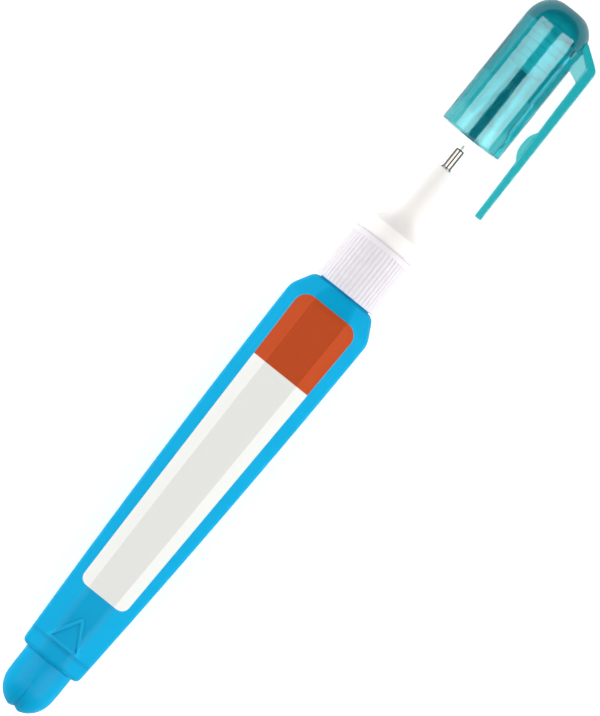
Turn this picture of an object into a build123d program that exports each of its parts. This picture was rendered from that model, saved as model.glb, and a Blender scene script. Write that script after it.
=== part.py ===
from build123d import *
import math
import os

# Correction pen: an eight-sided squeeze barrel with a spring valve in its tip, and its clip cap drawn off.
# The pen lies along +X with the writing tip forward and the label side up, towards +Z.
# The origin is on the pen's axis, at the rear face of the barrel. Every size is in millimetres.

# Clearances
press_gap = 0.02  # round a piece that is pressed into its seat
slide_gap = 0.06  # round a piece that slides in or over another
thread_gap = 0.1  # between the collar and the neck that it screws on
stop_gap = 0.05  # in front of a stop that a moving piece rests against

# Barrel
barrel_length = 67.2  # rear face to front face, without the neck
rear_flats = 10.0  # across two opposite sides at the rear face
shoulder_flats = 14.1  # across two opposite sides at the shoulder
belly = 0.33  # how far each long side bulges past a straight line
barrel_wall = 0.9
rear_wall = 2.0
rear_round = 0.9
shoulder_length = 3.5
shoulder_round = 1.3
inside_round = 0.85  # where the shoulder's inside meets the front wall
neck_wall = 1.1

# Tail plug
tail_radius = 4.0
tail_straight = 3.2  # plain post that a holder can grip
tail_run = 1.05  # fluted stretch between the post and its dome
tail_draft = 0.03  # how much narrower that stretch is where the dome begins
tail_dome = 4.35
tail_shoulder = 1.1  # width of the ledge that sits on the barrel's rear face
tail_spigot_reach = 0.8  # how far the spigot passes through the rear wall
tail_core_radius = 1.9
tail_core_depth = 7.0
flute_cutter = 0.9  # half diagonal of the square cutter that leaves the four flutes
flute_depth = 0.55  # at the end of the dome
flute_side_depth = 0.2  # where the dome begins

# Label
label_start = 12.0  # from the rear face
label_over = 0.55  # how far the label bends over the shoulder
label_rear_margin = 1.55  # from the barrel's side to the label's edge, seen from above
label_front_margin = 1.95
label_thickness = 0.1
label_rear_round = 1.2
label_front_round = 2.0

# Nozzle
spigot_radius = 4.04  # the round seat that the cap grips
spigot_length = 2.5  # in front of the collar
flange_step = 0.36
flange_thickness = 0.9
skirt_length = 4.0
skirt_wall = 0.75
flare_length = 3.6
throat_radius = 2.29
cone_length = 7.7
nose_radius = 1.57
nose_chamfer = 0.15
feed_radius = 0.9  # passage round the needle
feed_taper = 2.0

# Collar
collar_gap = 0.2  # between the barrel's front face and the collar
collar_length = 9.05
collar_wall = 0.5
collar_lip = 0.95
collar_chamfer = 0.2
collar_rim = 0.95  # plain rim in front of the ribs
groove_depth = 0.14
groove_count = 48
groove_share = 0.8  # of the collar's surface that is grooved
gasket_thickness = 0.5
gasket_width = 1.0

# Metal tip
tip_radius = 0.69
tip_exposed = 3.5
tip_seat = 3.8
tip_bore = 0.4
tip_chamfer = 0.22
tip_flange_step = 0.16
tip_flange_thickness = 0.25
orifice_radius = 0.22
orifice_length = 0.5

# Needle, slider, spring and retainer
pin_radius = 0.16
pin_reach = 0.8  # how far the pin stands out of the metal tip
needle_radius = 0.3
slider_length = 2.6
slider_front_gap = 0.2
slider_stem_radius = 1.0
slider_stem_length = 1.0
slider_slot_width = 0.7
slider_slot_depth = 0.6
slider_slots = 3
spring_wire = 0.3  # across the corners of its section
spring_sides = 6
spring_radius = 1.4  # to the middle of the wire
spring_turns = 5
retainer_thickness = 1.5
retainer_hole = 0.45
retainer_ring = 1.55
retainer_holes = 4

# Mixing ball
ball_radius = 2.0
ball_gap = 0.1  # between the ball and the walls that it runs on

# Cap and its seal
cap_wall = 0.95
cap_crown = 4.4  # length of the rounded end
crown_flat = 1.5  # radius of the flat middle of that end
crown_wall = 2.5  # along the axis, at the closed end
crown_room = 1.9  # domed hollow in front of the seal
cap_drawn_off = 19.3  # how far the cap is pulled forward from where it closes
mouth_gap = 0.15  # between the cap's mouth and the collar when closed
mouth_chamfer = 0.15
grip_depth = 3.1  # of the bore that grips the spigot
grip_taper = 1.2
bore_depth = 8.95
bore_step = 0.36  # down to the bore that holds the seal
seal_stop = 0.8  # how far the cap steps in over the seal's front end
seal_wall = 1.3  # at the funnel's mouth
funnel_gap = 0.15
funnel_depth = 1.2
funnel_taper = 0.2
tip_room = 0.45  # between the nozzle's end and the funnel's floor
pin_room = 0.3  # in front of the pin when closed
seal_floor = 0.8
seal_chamfer = 0.7
seal_groove_depth = 0.3
seal_groove_width = 1.43
seal_groove_pitch = 2.58
seal_grooves = 2

# Clip, moulded in one with the cap
clip_overhang = 8.3  # past the cap's mouth
clip_thickness = 1.14
clip_root_thickness = 1.58
clip_width = 3.6
clip_tip_width = 3.0
clip_root_gap = 1.65  # from the cap's side to the clip, at its root
clip_tip_gap = 2.34
clip_elbow = 5.4  # from the end of the crown back to the inner corner
clip_slant = 2.1  # how far the root leans over its height
clip_foot = 2.58  # from the end of the crown back to the root's front face
clip_foot_drop = 0.2
clip_corner = 0.4  # how far the outer corner lies in front of the inner one
clip_elbow_round = 1.5
web_thickness = 1.2
web_length = 2.7
web_slant = 1.3
bump_start = 1.65  # from the cap's mouth
bump_length = 5.0
bump_height = 0.84
bump_rise = 55  # slope of the bump's ends, in degrees
bump_width = 2.0

# Places along the axis that follow from the sizes
flange_radius = spigot_radius + flange_step
neck_radius = flange_radius
collar_bore = neck_radius + thread_gap
collar_radius = collar_bore + collar_wall + groove_depth
shoulder_x = barrel_length - shoulder_length
collar_rear = barrel_length + collar_gap
collar_front = collar_rear + collar_length
flange_front = collar_front - collar_lip
flange_rear = flange_front - flange_thickness
neck_front = flange_rear - gasket_thickness
skirt_rear = flange_rear - skirt_length
neck_bore = neck_radius - neck_wall
skirt_radius = neck_bore - press_gap
chamber_radius = skirt_radius - skirt_wall
spigot_front = collar_front + spigot_length
throat_x = spigot_front + flare_length
nose_x = throat_x + cone_length
tip_front = nose_x + tip_exposed
tip_rear = nose_x - tip_seat
pin_front = tip_front + pin_reach
slider_front = spigot_front - slider_front_gap
slider_rear = slider_front - slider_length
retainer_front = skirt_rear + retainer_thickness
closed_mouth = collar_front + mouth_gap
cap_mouth = closed_mouth + cap_drawn_off
cap_bore = spigot_radius + slide_gap
cap_radius = cap_bore + cap_wall
funnel_floor = cap_drawn_off + nose_x + tip_room
funnel_front_radius = nose_radius + funnel_gap
funnel_mouth_radius = funnel_front_radius + funnel_taper
seal_rear = funnel_floor - tip_room - funnel_depth
seal_bore_end = cap_drawn_off + pin_front + pin_room
seal_front = seal_bore_end + seal_floor
seal_radius = funnel_mouth_radius + seal_wall
seal_bore = seal_radius + press_gap
seal_stop_x = seal_front + press_gap
crown_inside = seal_stop_x + crown_room
cap_front = crown_inside + crown_wall
crown_x = cap_front - cap_crown
dome_x = -tail_straight - tail_run
dome_radius = tail_radius - tail_draft
tail_end = dome_x - tail_dome


def side_half(x):
    # Distance from the axis to the middle of a long side of the barrel
    share = x / shoulder_x
    straight = rear_flats / 2 + (shoulder_flats - rear_flats) / 2 * share
    return straight + 4 * belly * share * (1 - share)


def eight_sided(rear, shoulder, front, grow, rear_corner, front_corner):
    # Four equal slabs, turned about the axis, leave a solid with eight bulging sides and a faceted shoulder
    middle = (rear + shoulder) / 2
    rear_half = side_half(rear) + grow
    middle_half = side_half(middle) + grow
    shoulder_half = side_half(shoulder) + grow
    with BuildPart() as body:
        for turn in (0, 90, 45, 135):
            with BuildSketch(Plane.XY.rotated((turn, 0, 0))) as outline:
                with BuildLine():
                    Line((rear, 0), (rear, rear_half))
                    ThreePointArc((rear, rear_half), (middle, middle_half), (shoulder, shoulder_half))
                    Polyline((shoulder, shoulder_half), (front, collar_radius + grow), (front, 0))
                    mirror(about=Plane.XZ)
                make_face()
                fillet(outline.vertices().group_by(Axis.X)[0], rear_corner)
                fillet(outline.vertices().group_by(Axis.X)[-1], front_corner)
            extrude(amount=shoulder_flats, both=True, mode=Mode.ADD if turn == 0 else Mode.INTERSECT)
    return body.part


def biarc(first, last, leaving, arriving):
    # Two tangent arcs of equal tangent length, from one point and direction to another
    chord = last - first
    both = leaving + arriving
    square = both.dot(both) - 4
    along = chord.dot(both)
    reach = (along - math.sqrt(along * along - square * chord.dot(chord))) / square
    joint = (first + leaving * reach + last - arriving * reach) / 2
    TangentArc(first, joint, tangent=leaving)
    TangentArc(joint, last, tangent=joint - first - leaving * reach)


barrel_outside = eight_sided(0, shoulder_x, barrel_length, 0, rear_round, shoulder_round)
front_inside = barrel_length - barrel_wall
barrel_inside = eight_sided(rear_wall, shoulder_x, front_inside, -barrel_wall, rear_round, inside_round)
label_outside = eight_sided(0, shoulder_x, barrel_length, label_thickness, rear_round, shoulder_round)
tail_spigot_radius = tail_radius - tail_shoulder

with BuildPart() as barrel:
    add(barrel_outside)
    with BuildSketch(Plane.YZ.offset(barrel_length - barrel_wall)):
        Circle(neck_radius)
    extrude(amount=neck_front - barrel_length + barrel_wall)
    add(barrel_inside, mode=Mode.SUBTRACT)
    with BuildSketch(Plane.YZ.offset(neck_front)):
        Circle(neck_bore)
    extrude(amount=-(neck_front - shoulder_x), mode=Mode.SUBTRACT)
    with BuildSketch(Plane.YZ):
        Circle(tail_spigot_radius + press_gap)
    extrude(amount=rear_wall + rear_round, mode=Mode.SUBTRACT)
barrel.part.label = "barrel"

# Lobed tail plug: a bullet-shaped post with a spigot in the barrel and two flutes crossing over its end
with BuildPart() as tail_plug:
    with BuildSketch():
        with BuildLine():
            spigot_end = rear_wall + tail_spigot_reach
            Polyline(
                (tail_end, 0),
                (spigot_end, 0),
                (spigot_end, tail_spigot_radius),
                (0, tail_spigot_radius),
                (0, tail_radius),
                (-tail_straight, tail_radius),
                (dome_x, dome_radius),
            )
            biarc(Vector(dome_x, dome_radius), Vector(tail_end, 0), Vector(-1, 0), Vector(0, -1))
        make_face()
    revolve(axis=Axis.X)
    with BuildSketch(Plane.YZ.offset(spigot_end)):
        Circle(tail_core_radius)
    extrude(amount=-tail_core_depth, mode=Mode.SUBTRACT)
    flute_end = Vector(tail_end - flute_cutter + flute_depth, 0, 0)
    ahead = Vector(1, 0, 0)
    for side in (Vector(0, 1, 0), Vector(0, 0, 1)):
        flute_side = side * (dome_radius + flute_cutter - flute_side_depth)
        with BuildLine() as flute_path:
            Line(flute_side - ahead * tail_straight, flute_side + ahead * dome_x)
            biarc(flute_side + ahead * dome_x, flute_end, -ahead, -side)
            biarc(flute_end, -flute_side + ahead * dome_x, -side, ahead)
            Line(-flute_side + ahead * dome_x, -flute_side - ahead * tail_straight)
        with BuildSketch(Plane(flute_path.line @ 0, z_dir=flute_path.line % 0)):
            RegularPolygon(flute_cutter, 4)
        sweep(path=flute_path.line, mode=Mode.SUBTRACT)
tail_plug.part.label = "tail_plug"

# Film label, bent over the top side and the two sides next to it
with BuildPart() as front_label:
    add(label_outside)
    add(barrel_outside, mode=Mode.SUBTRACT)
    with BuildSketch() as label_plan:
        label_end = shoulder_x + label_over
        rear_edge = side_half(label_start) - label_rear_margin
        front_edge = side_half(label_end) - label_front_margin
        with BuildLine():
            Polyline((label_start, 0), (label_start, rear_edge), (label_end, front_edge), (label_end, 0))
            mirror(about=Plane.XZ)
        make_face()
        fillet(label_plan.vertices().group_by(Axis.X)[0], label_rear_round)
        fillet(label_plan.vertices().group_by(Axis.X)[-1], label_front_round)
    extrude(amount=shoulder_flats, mode=Mode.INTERSECT)
front_label.part.label = "front_label"

# Ring gasket between the neck's end and the nozzle's flange
with BuildPart() as neck_gasket:
    with BuildSketch(Plane.YZ.offset(neck_front)):
        Circle(neck_radius)
        Circle(neck_radius - gasket_width, mode=Mode.SUBTRACT)
    extrude(amount=gasket_thickness)
neck_gasket.part.label = "neck_gasket"

# Ribbed collar that screws on the neck and holds the nozzle down by its flange
with BuildPart() as ribbed_collar:
    with BuildSketch():
        with BuildLine():
            Polyline(
                (collar_rear, collar_bore),
                (collar_rear, collar_radius),
                (collar_front - collar_chamfer, collar_radius),
                (collar_front, collar_radius - collar_chamfer),
                (collar_front, spigot_radius + slide_gap),
                (flange_front, spigot_radius + slide_gap),
                (flange_front, collar_bore),
                close=True,
            )
        make_face()
    revolve(axis=Axis.X)
    groove_angle = 2 * math.pi / groove_count
    groove_half = collar_radius * math.sin(groove_angle / 2) * groove_share
    with BuildSketch(Plane.YZ.offset(collar_rear)):
        with PolarLocations(0, groove_count):
            with BuildLine():
                Polyline(
                    (collar_radius - groove_depth, 0),
                    (collar_radius, groove_half),
                    (collar_radius + groove_depth, 0),
                    (collar_radius, -groove_half),
                    close=True,
                )
            make_face()
    extrude(amount=collar_length - collar_rim, mode=Mode.SUBTRACT)
ribbed_collar.part.label = "ribbed_collar"

# Nozzle: skirt in the neck, flange under the collar, spigot for the cap, flare and slender cone
with BuildPart() as nozzle:
    cone_slope = (nose_radius - throat_radius) / cone_length
    with BuildSketch() as nozzle_section:
        with BuildLine():
            Polyline(
                (skirt_rear, 0),
                (skirt_rear, skirt_radius),
                (flange_rear, skirt_radius),
                (flange_rear, flange_radius),
                (flange_front, flange_radius),
                (flange_front, spigot_radius),
                (spigot_front, spigot_radius),
            )
            TangentArc((throat_x, throat_radius), (spigot_front, spigot_radius), tangent=(-1, -cone_slope))
            Polyline((throat_x, throat_radius), (nose_x, nose_radius), (nose_x, 0), (skirt_rear, 0))
        make_face()
        chamfer(nozzle_section.vertices().group_by(Axis.X)[-1].sort_by(Axis.Y)[-1], nose_chamfer)
    revolve(axis=Axis.X)
    with BuildSketch():
        with BuildLine():
            Polyline(
                (skirt_rear, 0),
                (skirt_rear, chamber_radius),
                (spigot_front, chamber_radius),
                (spigot_front + feed_taper, feed_radius),
                (tip_rear, feed_radius),
                (tip_rear, tip_radius + press_gap),
                (nose_x, tip_radius + press_gap),
                (nose_x, 0),
                close=True,
            )
        make_face()
    revolve(axis=Axis.X, mode=Mode.SUBTRACT)
nozzle.part.label = "nozzle"

# Steel tip: a drawn tube with a thin flange on the nozzle's end and an orifice that the needle closes
with BuildPart() as metal_tip:
    with BuildSketch() as tip_section:
        with BuildLine():
            Polyline(
                (tip_rear, tip_bore),
                (tip_rear, tip_radius),
                (nose_x, tip_radius),
                (nose_x, tip_radius + tip_flange_step),
                (nose_x + tip_flange_thickness, tip_radius + tip_flange_step),
                (nose_x + tip_flange_thickness, tip_radius),
                (tip_front, tip_radius),
                (tip_front, orifice_radius),
                (tip_front - orifice_length, orifice_radius),
                (tip_front - orifice_length, tip_bore),
                close=True,
            )
        make_face()
        chamfer(tip_section.vertices().group_by(Axis.X)[-1].sort_by(Axis.Y)[-1], tip_chamfer)
    revolve(axis=Axis.X)
metal_tip.part.label = "metal_tip"

# Valve needle: a steel wire whose shoulder rests behind the orifice and whose pin stands out of it
with BuildPart() as valve_needle:
    needle_shoulder = tip_front - orifice_length - stop_gap
    with BuildSketch():
        with BuildLine():
            Polyline(
                (slider_rear, 0),
                (slider_rear, needle_radius),
                (needle_shoulder, needle_radius),
                (needle_shoulder, pin_radius),
                (pin_front, pin_radius),
                (pin_front, 0),
                close=True,
            )
        make_face()
    revolve(axis=Axis.X)
    chamfer(valve_needle.edges().group_by(Axis.X)[-1], pin_radius / 2)
valve_needle.part.label = "valve_needle"

# Slider that carries the needle, slotted so that the fluid can pass, with a stem inside the spring
with BuildPart() as needle_slider:
    slider_radius = chamber_radius - slide_gap
    with BuildSketch(Plane.YZ.offset(slider_rear)):
        Circle(slider_radius)
    extrude(amount=slider_length)
    with BuildSketch(Plane.YZ.offset(slider_rear)):
        Circle(slider_stem_radius)
    extrude(amount=-slider_stem_length)
    with BuildSketch(Plane.YZ.offset(slider_rear)):
        with PolarLocations(slider_radius, slider_slots):
            Rectangle(2 * slider_slot_depth, slider_slot_width)
    extrude(amount=slider_length, mode=Mode.SUBTRACT)
    with BuildSketch(Plane.YZ.offset(slider_rear)):
        Circle(needle_radius + press_gap)
    extrude(amount=slider_length, mode=Mode.SUBTRACT)
needle_slider.part.label = "needle_slider"

# Retainer pressed into the nozzle's skirt behind the spring, with holes that let the fluid in
with BuildPart() as spring_retainer:
    with BuildSketch(Plane.YZ.offset(skirt_rear)):
        Circle(chamber_radius - press_gap)
        with PolarLocations(retainer_ring, retainer_holes):
            Circle(retainer_hole, mode=Mode.SUBTRACT)
    extrude(amount=retainer_thickness)
spring_retainer.part.label = "spring_retainer"


def helix_point(turn, start, pitch):
    angle = 2 * math.pi * turn
    return Vector(start + pitch * turn, spring_radius * math.cos(angle), spring_radius * math.sin(angle))


def helix_tangent(turn, pitch):
    angle = 2 * math.pi * turn
    around = 2 * math.pi * spring_radius
    return Vector(pitch, -around * math.sin(angle), around * math.cos(angle)).normalized()


# Valve spring, wound in one unbroken wire from quarter turns of two tangent arcs each
with BuildPart() as valve_spring:
    quarter = 0.25
    spring_start = retainer_front + stop_gap + spring_wire / 2
    spring_end = slider_rear - stop_gap - spring_wire / 2
    spring_pitch = (spring_end - spring_start) / spring_turns
    with BuildLine() as spring_line:
        for step in range(round(spring_turns / quarter)):
            first = helix_point(step * quarter, spring_start, spring_pitch)
            last = helix_point((step + 1) * quarter, spring_start, spring_pitch)
            leaving = helix_tangent(step * quarter, spring_pitch)
            arriving = helix_tangent((step + 1) * quarter, spring_pitch)
            biarc(first, last, leaving, arriving)
    with BuildSketch(Plane(spring_line.line @ 0, z_dir=spring_line.line % 0)):
        RegularPolygon(spring_wire / 2, spring_sides)
    sweep(path=spring_line.line)
valve_spring.part.label = "valve_spring"

# Steel mixing ball, resting at the front of the barrel's lowest wall
ball_half = side_half(shoulder_x) - barrel_wall
ball_drop = ball_half - ball_gap - ball_radius
ball_front = shoulder_x - ball_radius / 2
with BuildPart() as mixing_ball:
    with Locations((ball_front, 0, -ball_drop)):
        Sphere(ball_radius)
mixing_ball.part.label = "mixing_ball"

# Clip: a long arm on a slanted root with a thin web in its corner and a bump that faces the cap
arm_tip = cap_mouth - clip_overhang
arm_tip_in = -(cap_radius + clip_tip_gap)
arm_root = cap_front - clip_elbow
arm_root_in = -(cap_radius + clip_root_gap)
root_seat = -(cap_radius - cap_wall)
arm_slope = (arm_root_in - arm_tip_in) / (arm_root - arm_tip)
with BuildPart() as clip:
    with BuildSketch() as clip_side:
        with BuildLine():
            Polyline(
                (arm_tip, arm_tip_in),
                (arm_root, arm_root_in),
                (arm_root + clip_slant, root_seat),
                (cap_front - clip_foot, root_seat),
                (cap_front - clip_foot, -(cap_radius - clip_foot_drop)),
                (arm_root + clip_corner, arm_root_in - clip_root_thickness),
                (arm_tip, arm_tip_in - clip_thickness),
                close=True,
            )
        make_face()
        fillet(clip_side.vertices().sort_by(Axis.Y)[:2].sort_by(Axis.X)[-1], clip_elbow_round)
    extrude(amount=clip_width / 2, both=True)
    with BuildSketch(Plane.XZ) as clip_plan:
        with BuildLine():
            Polyline(
                (arm_tip, 0),
                (arm_tip, clip_tip_width / 2),
                (arm_root, clip_width / 2),
                (cap_front, clip_width / 2),
                (cap_front, 0),
            )
            mirror(about=Plane.XZ)
        make_face()
        fillet(clip_plan.vertices().group_by(Axis.X)[0], clip_tip_width / 3)
    extrude(amount=2 * cap_radius, mode=Mode.INTERSECT)
    with BuildSketch():
        with BuildLine():
            Polyline(
                (arm_root - web_length, arm_root_in - clip_thickness / 2),
                (arm_root - web_length + web_slant, root_seat),
                (arm_root + clip_slant, root_seat),
                (arm_root + clip_thickness / 2, arm_root_in - clip_thickness / 2),
                close=True,
            )
        make_face()
    extrude(amount=web_thickness / 2, both=True)
    bump_rear = cap_mouth + bump_start
    bump_front = bump_rear + bump_length
    bump_middle = (bump_rear + bump_front) / 2
    bump_seat = arm_tip_in + arm_slope * (bump_middle - arm_tip)
    bump_top = bump_seat + bump_height
    with BuildSketch():
        with BuildLine():
            rise = Vector(math.cos(math.radians(bump_rise)), math.sin(math.radians(bump_rise)))
            biarc(Vector(bump_rear, bump_seat), Vector(bump_middle, bump_top), rise, Vector(1, 0))
            fall = Vector(rise.X, -rise.Y)
            biarc(Vector(bump_middle, bump_top), Vector(bump_front, bump_seat), Vector(1, 0), fall)
            Polyline(
                (bump_front, bump_seat),
                (bump_front, bump_seat - clip_thickness / 2),
                (bump_rear, bump_seat - clip_thickness / 2),
                (bump_rear, bump_seat),
            )
        make_face()
    extrude(amount=bump_width / 2, both=True)

# Cap: a round-ended tube with the clip on its side, and a stepped bore that holds the spigot and the seal
with BuildPart() as cap:
    with BuildSketch() as cap_section:
        with BuildLine():
            Polyline(
                (cap_front, crown_flat),
                (cap_front, 0),
                (cap_mouth, 0),
                (cap_mouth, cap_radius),
                (crown_x, cap_radius),
            )
            biarc(Vector(crown_x, cap_radius), Vector(cap_front, crown_flat), Vector(1, 0), Vector(0, -1))
        make_face()
        chamfer(cap_section.vertices().group_by(Axis.X)[0].sort_by(Axis.Y)[-1], mouth_chamfer)
    revolve(axis=Axis.X)
    add(clip.part)
    with BuildSketch():
        with BuildLine():
            Polyline(
                (crown_inside, 0),
                (cap_mouth, 0),
                (cap_mouth, cap_bore),
                (cap_mouth + grip_depth, cap_bore),
                (cap_mouth + grip_depth + grip_taper, seal_bore + bore_step),
                (cap_mouth + bore_depth, seal_bore + bore_step),
                (cap_mouth + bore_depth + bore_step, seal_bore),
                (seal_stop_x, seal_bore),
                (seal_stop_x, seal_bore - seal_stop),
            )
            crown_start = Vector(seal_stop_x, seal_bore - seal_stop)
            biarc(crown_start, Vector(crown_inside, 0), Vector(1, 0), Vector(0, -1))
        make_face()
    revolve(axis=Axis.X, mode=Mode.SUBTRACT)
cap.part.label = "cap"

# Seal in the cap: a funnel for the nozzle's end and a blind bore for the metal tip, grooved outside
with BuildPart() as cap_seal:
    with BuildSketch() as seal_section:
        with BuildLine():
            Polyline(
                (seal_rear, funnel_mouth_radius),
                (seal_rear, seal_radius),
                (seal_front, seal_radius),
                (seal_front, 0),
                (seal_bore_end, 0),
                (seal_bore_end, tip_radius + slide_gap),
                (funnel_floor, tip_radius + slide_gap),
                (funnel_floor, funnel_front_radius),
                close=True,
            )
        make_face()
        chamfer(seal_section.vertices().sort_by(Axis.Y)[-2:], seal_chamfer)
        first_groove = (seal_rear + seal_front) / 2 - seal_groove_pitch * (seal_grooves - 1) / 2
        for groove in range(seal_grooves):
            with Locations((first_groove + groove * seal_groove_pitch, seal_radius)):
                Rectangle(seal_groove_width, 2 * seal_groove_depth, mode=Mode.SUBTRACT)
    revolve(axis=Axis.X)
cap_seal.part.label = "cap_seal"

os.makedirs("parts", exist_ok=True)
pieces = (
    barrel, tail_plug, front_label, neck_gasket, ribbed_collar, nozzle, metal_tip, valve_needle,
    needle_slider, spring_retainer, valve_spring, mixing_ball, cap, cap_seal,
)
for piece in pieces:
    export_step(piece.part, f"parts/{piece.part.label}.step")

wire_section = spring_sides / 2 * (spring_wire / 2) ** 2 * math.sin(2 * math.pi / spring_sides)
wire_volume = wire_section * sum(edge.length for edge in spring_line.edges())
print(f"spring gap {spring_pitch - spring_wire:.2f} mm")
print(f"spring volume {valve_spring.part.volume:.3f} of {wire_volume:.3f} mm3")
print(f"cap mouth at {cap_mouth:.2f}, end of the cap at {cap_front:.2f}, pin at {pin_front:.2f} mm")
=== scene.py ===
import math

import bmesh
import bpy
from mathutils import Matrix, Vector


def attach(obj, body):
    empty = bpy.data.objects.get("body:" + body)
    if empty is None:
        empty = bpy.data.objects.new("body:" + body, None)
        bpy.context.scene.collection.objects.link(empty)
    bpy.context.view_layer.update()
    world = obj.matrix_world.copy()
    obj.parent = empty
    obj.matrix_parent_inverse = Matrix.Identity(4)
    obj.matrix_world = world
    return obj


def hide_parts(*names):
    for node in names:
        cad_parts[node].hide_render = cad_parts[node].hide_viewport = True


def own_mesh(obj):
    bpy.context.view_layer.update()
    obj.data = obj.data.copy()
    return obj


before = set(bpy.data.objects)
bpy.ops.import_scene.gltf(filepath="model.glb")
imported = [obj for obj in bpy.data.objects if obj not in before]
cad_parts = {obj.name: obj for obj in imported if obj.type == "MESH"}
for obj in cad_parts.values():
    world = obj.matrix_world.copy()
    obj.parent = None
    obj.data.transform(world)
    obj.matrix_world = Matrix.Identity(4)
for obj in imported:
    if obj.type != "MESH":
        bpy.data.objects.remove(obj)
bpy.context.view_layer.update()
mm = 0.001
weld = 1e-7  # points closer than this, in metres, are one
scene = bpy.context.scene
scene.view_settings.view_transform = "Standard"
print("frame loaded,", len(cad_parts), "nodes")

# Nodes


def toLinear(hexColour):
    # sRGB hex to the linear colour that a socket wants
    parts = [int(hexColour[i:i + 2], 16) / 255 for i in (1, 3, 5)]
    return [p / 12.92 if p <= 0.04045 else ((p + 0.055) / 1.055) ** 2.4 for p in parts] + [1.0]


def addNode(tree, kind, settings=None):
    # one node: a value that is another node's output is linked, any other is set
    node = tree.nodes.new(kind)
    for key, value in (settings or {}).items():
        if isinstance(value, bpy.types.NodeSocket):
            tree.links.new(value, node.inputs[key])
        elif isinstance(key, int) or key in node.inputs:
            node.inputs[key].default_value = value
        else:
            setattr(node, key, value)
    return node


def noise(tree, place, size, detail):
    # mottle from 0 to 1, with cells of a size in mm
    settings = {"Vector": place, "Scale": 1 / (size * mm), "Detail": detail}
    return addNode(tree, "ShaderNodeTexNoise", settings).outputs[0]


def spread(tree, value, low, high, start=0.0, end=1.0, easing="LINEAR"):
    # a value between start and end, mapped to low and high
    settings = {"interpolation_type": easing, "Value": value, "From Min": start, "From Max": end,
                "To Min": low, "To Max": high}
    return addNode(tree, "ShaderNodeMapRange", settings).outputs[0]


def mixed(tree, share, first, second, how="MIX"):
    # two colours, each a hex colour or another node's output
    first, second = [toLinear(c) if isinstance(c, str) else c for c in (first, second)]
    settings = {"data_type": "RGBA", "blend_type": how, 0: share, 6: first, 7: second}
    return addNode(tree, "ShaderNodeMix", settings).outputs[2]


def calc(tree, operation, *values):
    # one step of arithmetic with outputs and numbers
    return addNode(tree, "ShaderNodeMath", {"operation": operation, **dict(enumerate(values))}).outputs[0]


def axes(tree, place):
    # x, y and z of a place
    return addNode(tree, "ShaderNodeSeparateXYZ", {0: place}).outputs


def relief(tree, height, strength, depth):
    # bump of a depth in mm
    settings = {"Height": height, "Strength": strength, "Distance": depth * mm}
    return addNode(tree, "ShaderNodeBump", settings).outputs[0]


def newMaterial(name):
    material = bpy.data.materials.new(name)
    material.use_nodes = True
    tree = material.node_tree
    tree.nodes.clear()
    return material, tree, addNode(tree, "ShaderNodeTexCoord").outputs["Object"]


def ended(material, skin, depth=None):
    # join the skin, and what fills it, to the material's end
    ends = {"Surface": skin.outputs[0]}
    if depth is not None:
        ends["Volume"] = depth.outputs[0]
    addNode(material.node_tree, "ShaderNodeOutputMaterial", ends)
    return material


# Meshes


def bearing(point):
    # angle round the pen's axis, from straight up
    return math.atan2(point.y, point.z)


def softProfile(points, steps=4):
    # (x, y, round) corners in mm, with an arc where round isn't zero
    line = []
    for i, (x, y, size) in enumerate(points):
        here = Vector((x, y))
        if not size:
            line.append(here)
            continue
        back = (Vector(points[i - 1][:2]) - here).normalized()
        ahead = (Vector(points[(i + 1) % len(points)][:2]) - here).normalized()
        half = back.angle(ahead) / 2
        centre = here + (back + ahead).normalized() * size / math.sin(half)
        start = here + back * size / math.tan(half) - centre
        turn = start.angle_signed(here + ahead * size / math.tan(half) - centre)
        for k in range(steps + 1):
            line.append(centre + Matrix.Rotation(-turn * k / steps, 2) @ start)
    return line


def turned(line, steps, closed=True):
    # spin a profile of (x, radius) points in mm about the pen's axis
    bm = bmesh.new()
    verts = [bm.verts.new((p[0] * mm, 0, p[1] * mm)) for p in line]
    pairs = list(zip(verts, verts[1:])) + ([(verts[-1], verts[0])] if closed else [])
    edges = [bm.edges.new(pair) for pair in pairs]
    bmesh.ops.spin(bm, geom=verts + edges, cent=(0, 0, 0), axis=(1, 0, 0), dvec=(0, 0, 0),
                   angle=2 * math.pi, steps=steps, use_merge=True)
    bmesh.ops.remove_doubles(bm, verts=bm.verts, dist=weld)
    bmesh.ops.recalc_face_normals(bm, faces=bm.faces)
    return bm


def pull(bm, faces):
    # extrude a patch and leave nothing behind it
    rim = {e for f in faces for e in f.edges} | {v for f in faces for v in f.verts}
    raised = bmesh.ops.extrude_face_region(bm, geom=list(faces) + list(rim))["geom"]
    return ([g for g in raised if isinstance(g, bmesh.types.BMFace)],
            [g for g in raised if isinstance(g, bmesh.types.BMVert)])


def slab(line, low, high):
    # extrude an outline of (x, y) points in mm from z = low to z = high
    bm = bmesh.new()
    face = bm.faces.new([bm.verts.new((p[0] * mm, p[1] * mm, low * mm)) for p in line])
    bmesh.ops.translate(bm, verts=pull(bm, [face])[1], vec=(0, 0, (high - low) * mm))
    bmesh.ops.recalc_face_normals(bm, faces=bm.faces)
    return bm


def roundEdges(bm, edges, size, segments=3):
    return bmesh.ops.bevel(bm, geom=edges, offset=size * mm, offset_type="OFFSET", segments=segments,
                           profile=0.5, affect="EDGES", clamp_overlap=True, material=-1)


def sharpEdges(bm, angle):
    # edges that bend by more than an angle in degrees
    limit = math.radians(angle)
    return [e for e in bm.edges if len(e.link_faces) == 2 and e.calc_face_angle() > limit]


def toPiece(name, bm, material, sharp=32):
    # edges that bend by more than sharp degrees stay hard
    bmesh.ops.remove_doubles(bm, verts=bm.verts, dist=2 * weld)
    bmesh.ops.dissolve_degenerate(bm, edges=bm.edges, dist=weld)
    mesh = bpy.data.meshes.new(name)
    bm.to_mesh(mesh)
    bm.free()
    return smoothed(name, mesh, material, sharp)


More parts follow.
